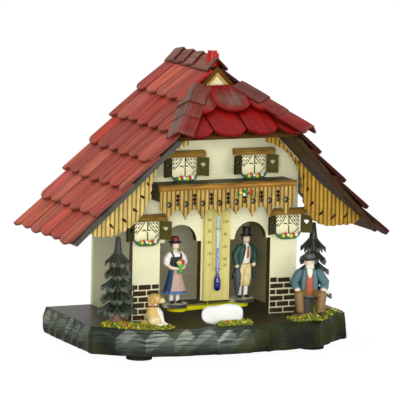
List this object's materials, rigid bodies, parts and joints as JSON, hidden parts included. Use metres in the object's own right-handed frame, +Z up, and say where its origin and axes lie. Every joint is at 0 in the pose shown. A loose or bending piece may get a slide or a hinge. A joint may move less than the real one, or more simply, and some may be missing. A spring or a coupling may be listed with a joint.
{
  "type": "weather house",
  "caption": "Carved chalet weather house on a wooden base, with a thermometer and a man and a woman on a beam that swings as its gut string twists.",
  "frame": {"origin": "middle of the underside of the feet, where the house stands", "axes": "+Z up, the front with its doorways faces -Y, +X to the viewer's right"},
  "size_m": [0.214, 0.1063, 0.1788],
  "materials": {
    "carved_base": "carved, stained dark green and brown",
    "dark_wood": "dark stained",
    "house_wood": "plain brown stain",
    "cream_paint": "matt cream paint",
    "shingle_red": "worn red stain",
    "cap_red": "worn red stain over grey wood",
    "ochre_wood": "ochre stain",
    "tan_wood": "tan stain",
    "rail_wood": "golden brown varnish",
    "shutter_olive": "olive brown stain",
    "hood_wood": "brown stain",
    "pane_cream": "satin cream paint",
    "pane_dark": "dark stain",
    "leaf_green": "matt paint",
    "bloom_red": "matt paint",
    "brick_paint": "printed card, matt",
    "scale_plate": "pale yellow paint",
    "clear_glass": "clear",
    "blue_spirit": "blue liquid",
    "steel_wire": "drawn",
    "brass_fitting": "drawn",
    "plate_white": "satin white",
    "grass": "flocked green",
    "fir_green": "matt moulding",
    "trunk_brown": "matt moulding",
    "dog_tan": "hand painted",
    "stone_grey": "hand painted",
    "figure_paint": "hand painted",
    "knob_red": "gloss red",
    "peg_wood": "bare",
    "gut": "twisted gut, translucent",
    "beam_yellow": "yellow paint"
  },
  "bodies": {
    "house": {"base_plate": "carved_base", "feet": "dark_wood", "front_wall": "cream_paint", "left_wall": "cream_paint", "right_wall": "cream_paint", "back_panel": "house_wood", "back_nails": "steel_wire", "left_roof_board": "dark_wood", "right_roof_board": "dark_wood", "hip_board": "dark_wood", "ridge_block": "house_wood", "left_bargeboard": "dark_wood", "right_bargeboard": "dark_wood", "left_shingles": "shingle_red", "right_shingles": "shingle_red", "hip_shingles": "shingle_red", "ridge_caps": "cap_red", "left_hip_caps": "cap_red", "right_hip_caps": "cap_red", "gablet_panel": "pane_cream", "gablet_trim": "ochre_wood", "left_eave_panel": "ochre_wood", "right_eave_panel": "ochre_wood", "balcony_block": "dark_wood", "balcony_rail": "rail_wood", "balcony_boards": "tan_wood", "balcony_posy": "bloom_red", "window_backs": "pane_dark", "window_panes": "pane_cream", "window_hoods": "hood_wood", "left_shutters": "shutter_olive", "right_shutters": "shutter_olive", "flower_boxes": "leaf_green", "window_blooms": "bloom_red", "brick_facing": "brick_paint", "thermometer_plate": "scale_plate", "thermometer_tube": "clear_glass", "thermometer_column": "blue_spirit", "thermometer_staples": "steel_wire", "name_plate": "plate_white", "left_grass": "grass", "middle_grass": "grass", "right_grass": "grass", "left_tree": "fir_green", "left_trunk": "trunk_brown", "right_tree": "fir_green", "right_trunk": "trunk_brown", "dog": "dog_tan", "sitting_man": "figure_paint", "seat_stone": "stone_grey"},
    "regulator": {"regulator_knob": "knob_red", "regulator_peg": "peg_wood", "gut_string": "gut"},
    "figures": {"beam": "beam_yellow", "hanger_pin": "brass_fitting", "hanger_sleeve": "brass_fitting", "woman_disc": "dark_wood", "man_disc": "dark_wood", "woman": "figure_paint", "man": "figure_paint"}
  },
  "joints": [
    {"name": "regulator_turn", "type": "hinge", "parent": "house", "child": "regulator", "pos_m": [0, -0.00275, 0.171], "axis": [0, 0, 1], "range_deg": [-20, 20]},
    {"name": "beam_swing", "type": "hinge", "parent": "regulator", "child": "figures", "pos_m": [0, -0.00275, 0.041], "axis": [0, 0, 1], "range_deg": [-37, 23], "stiffness_Nm_per_rad": 0.0002}
  ]
}
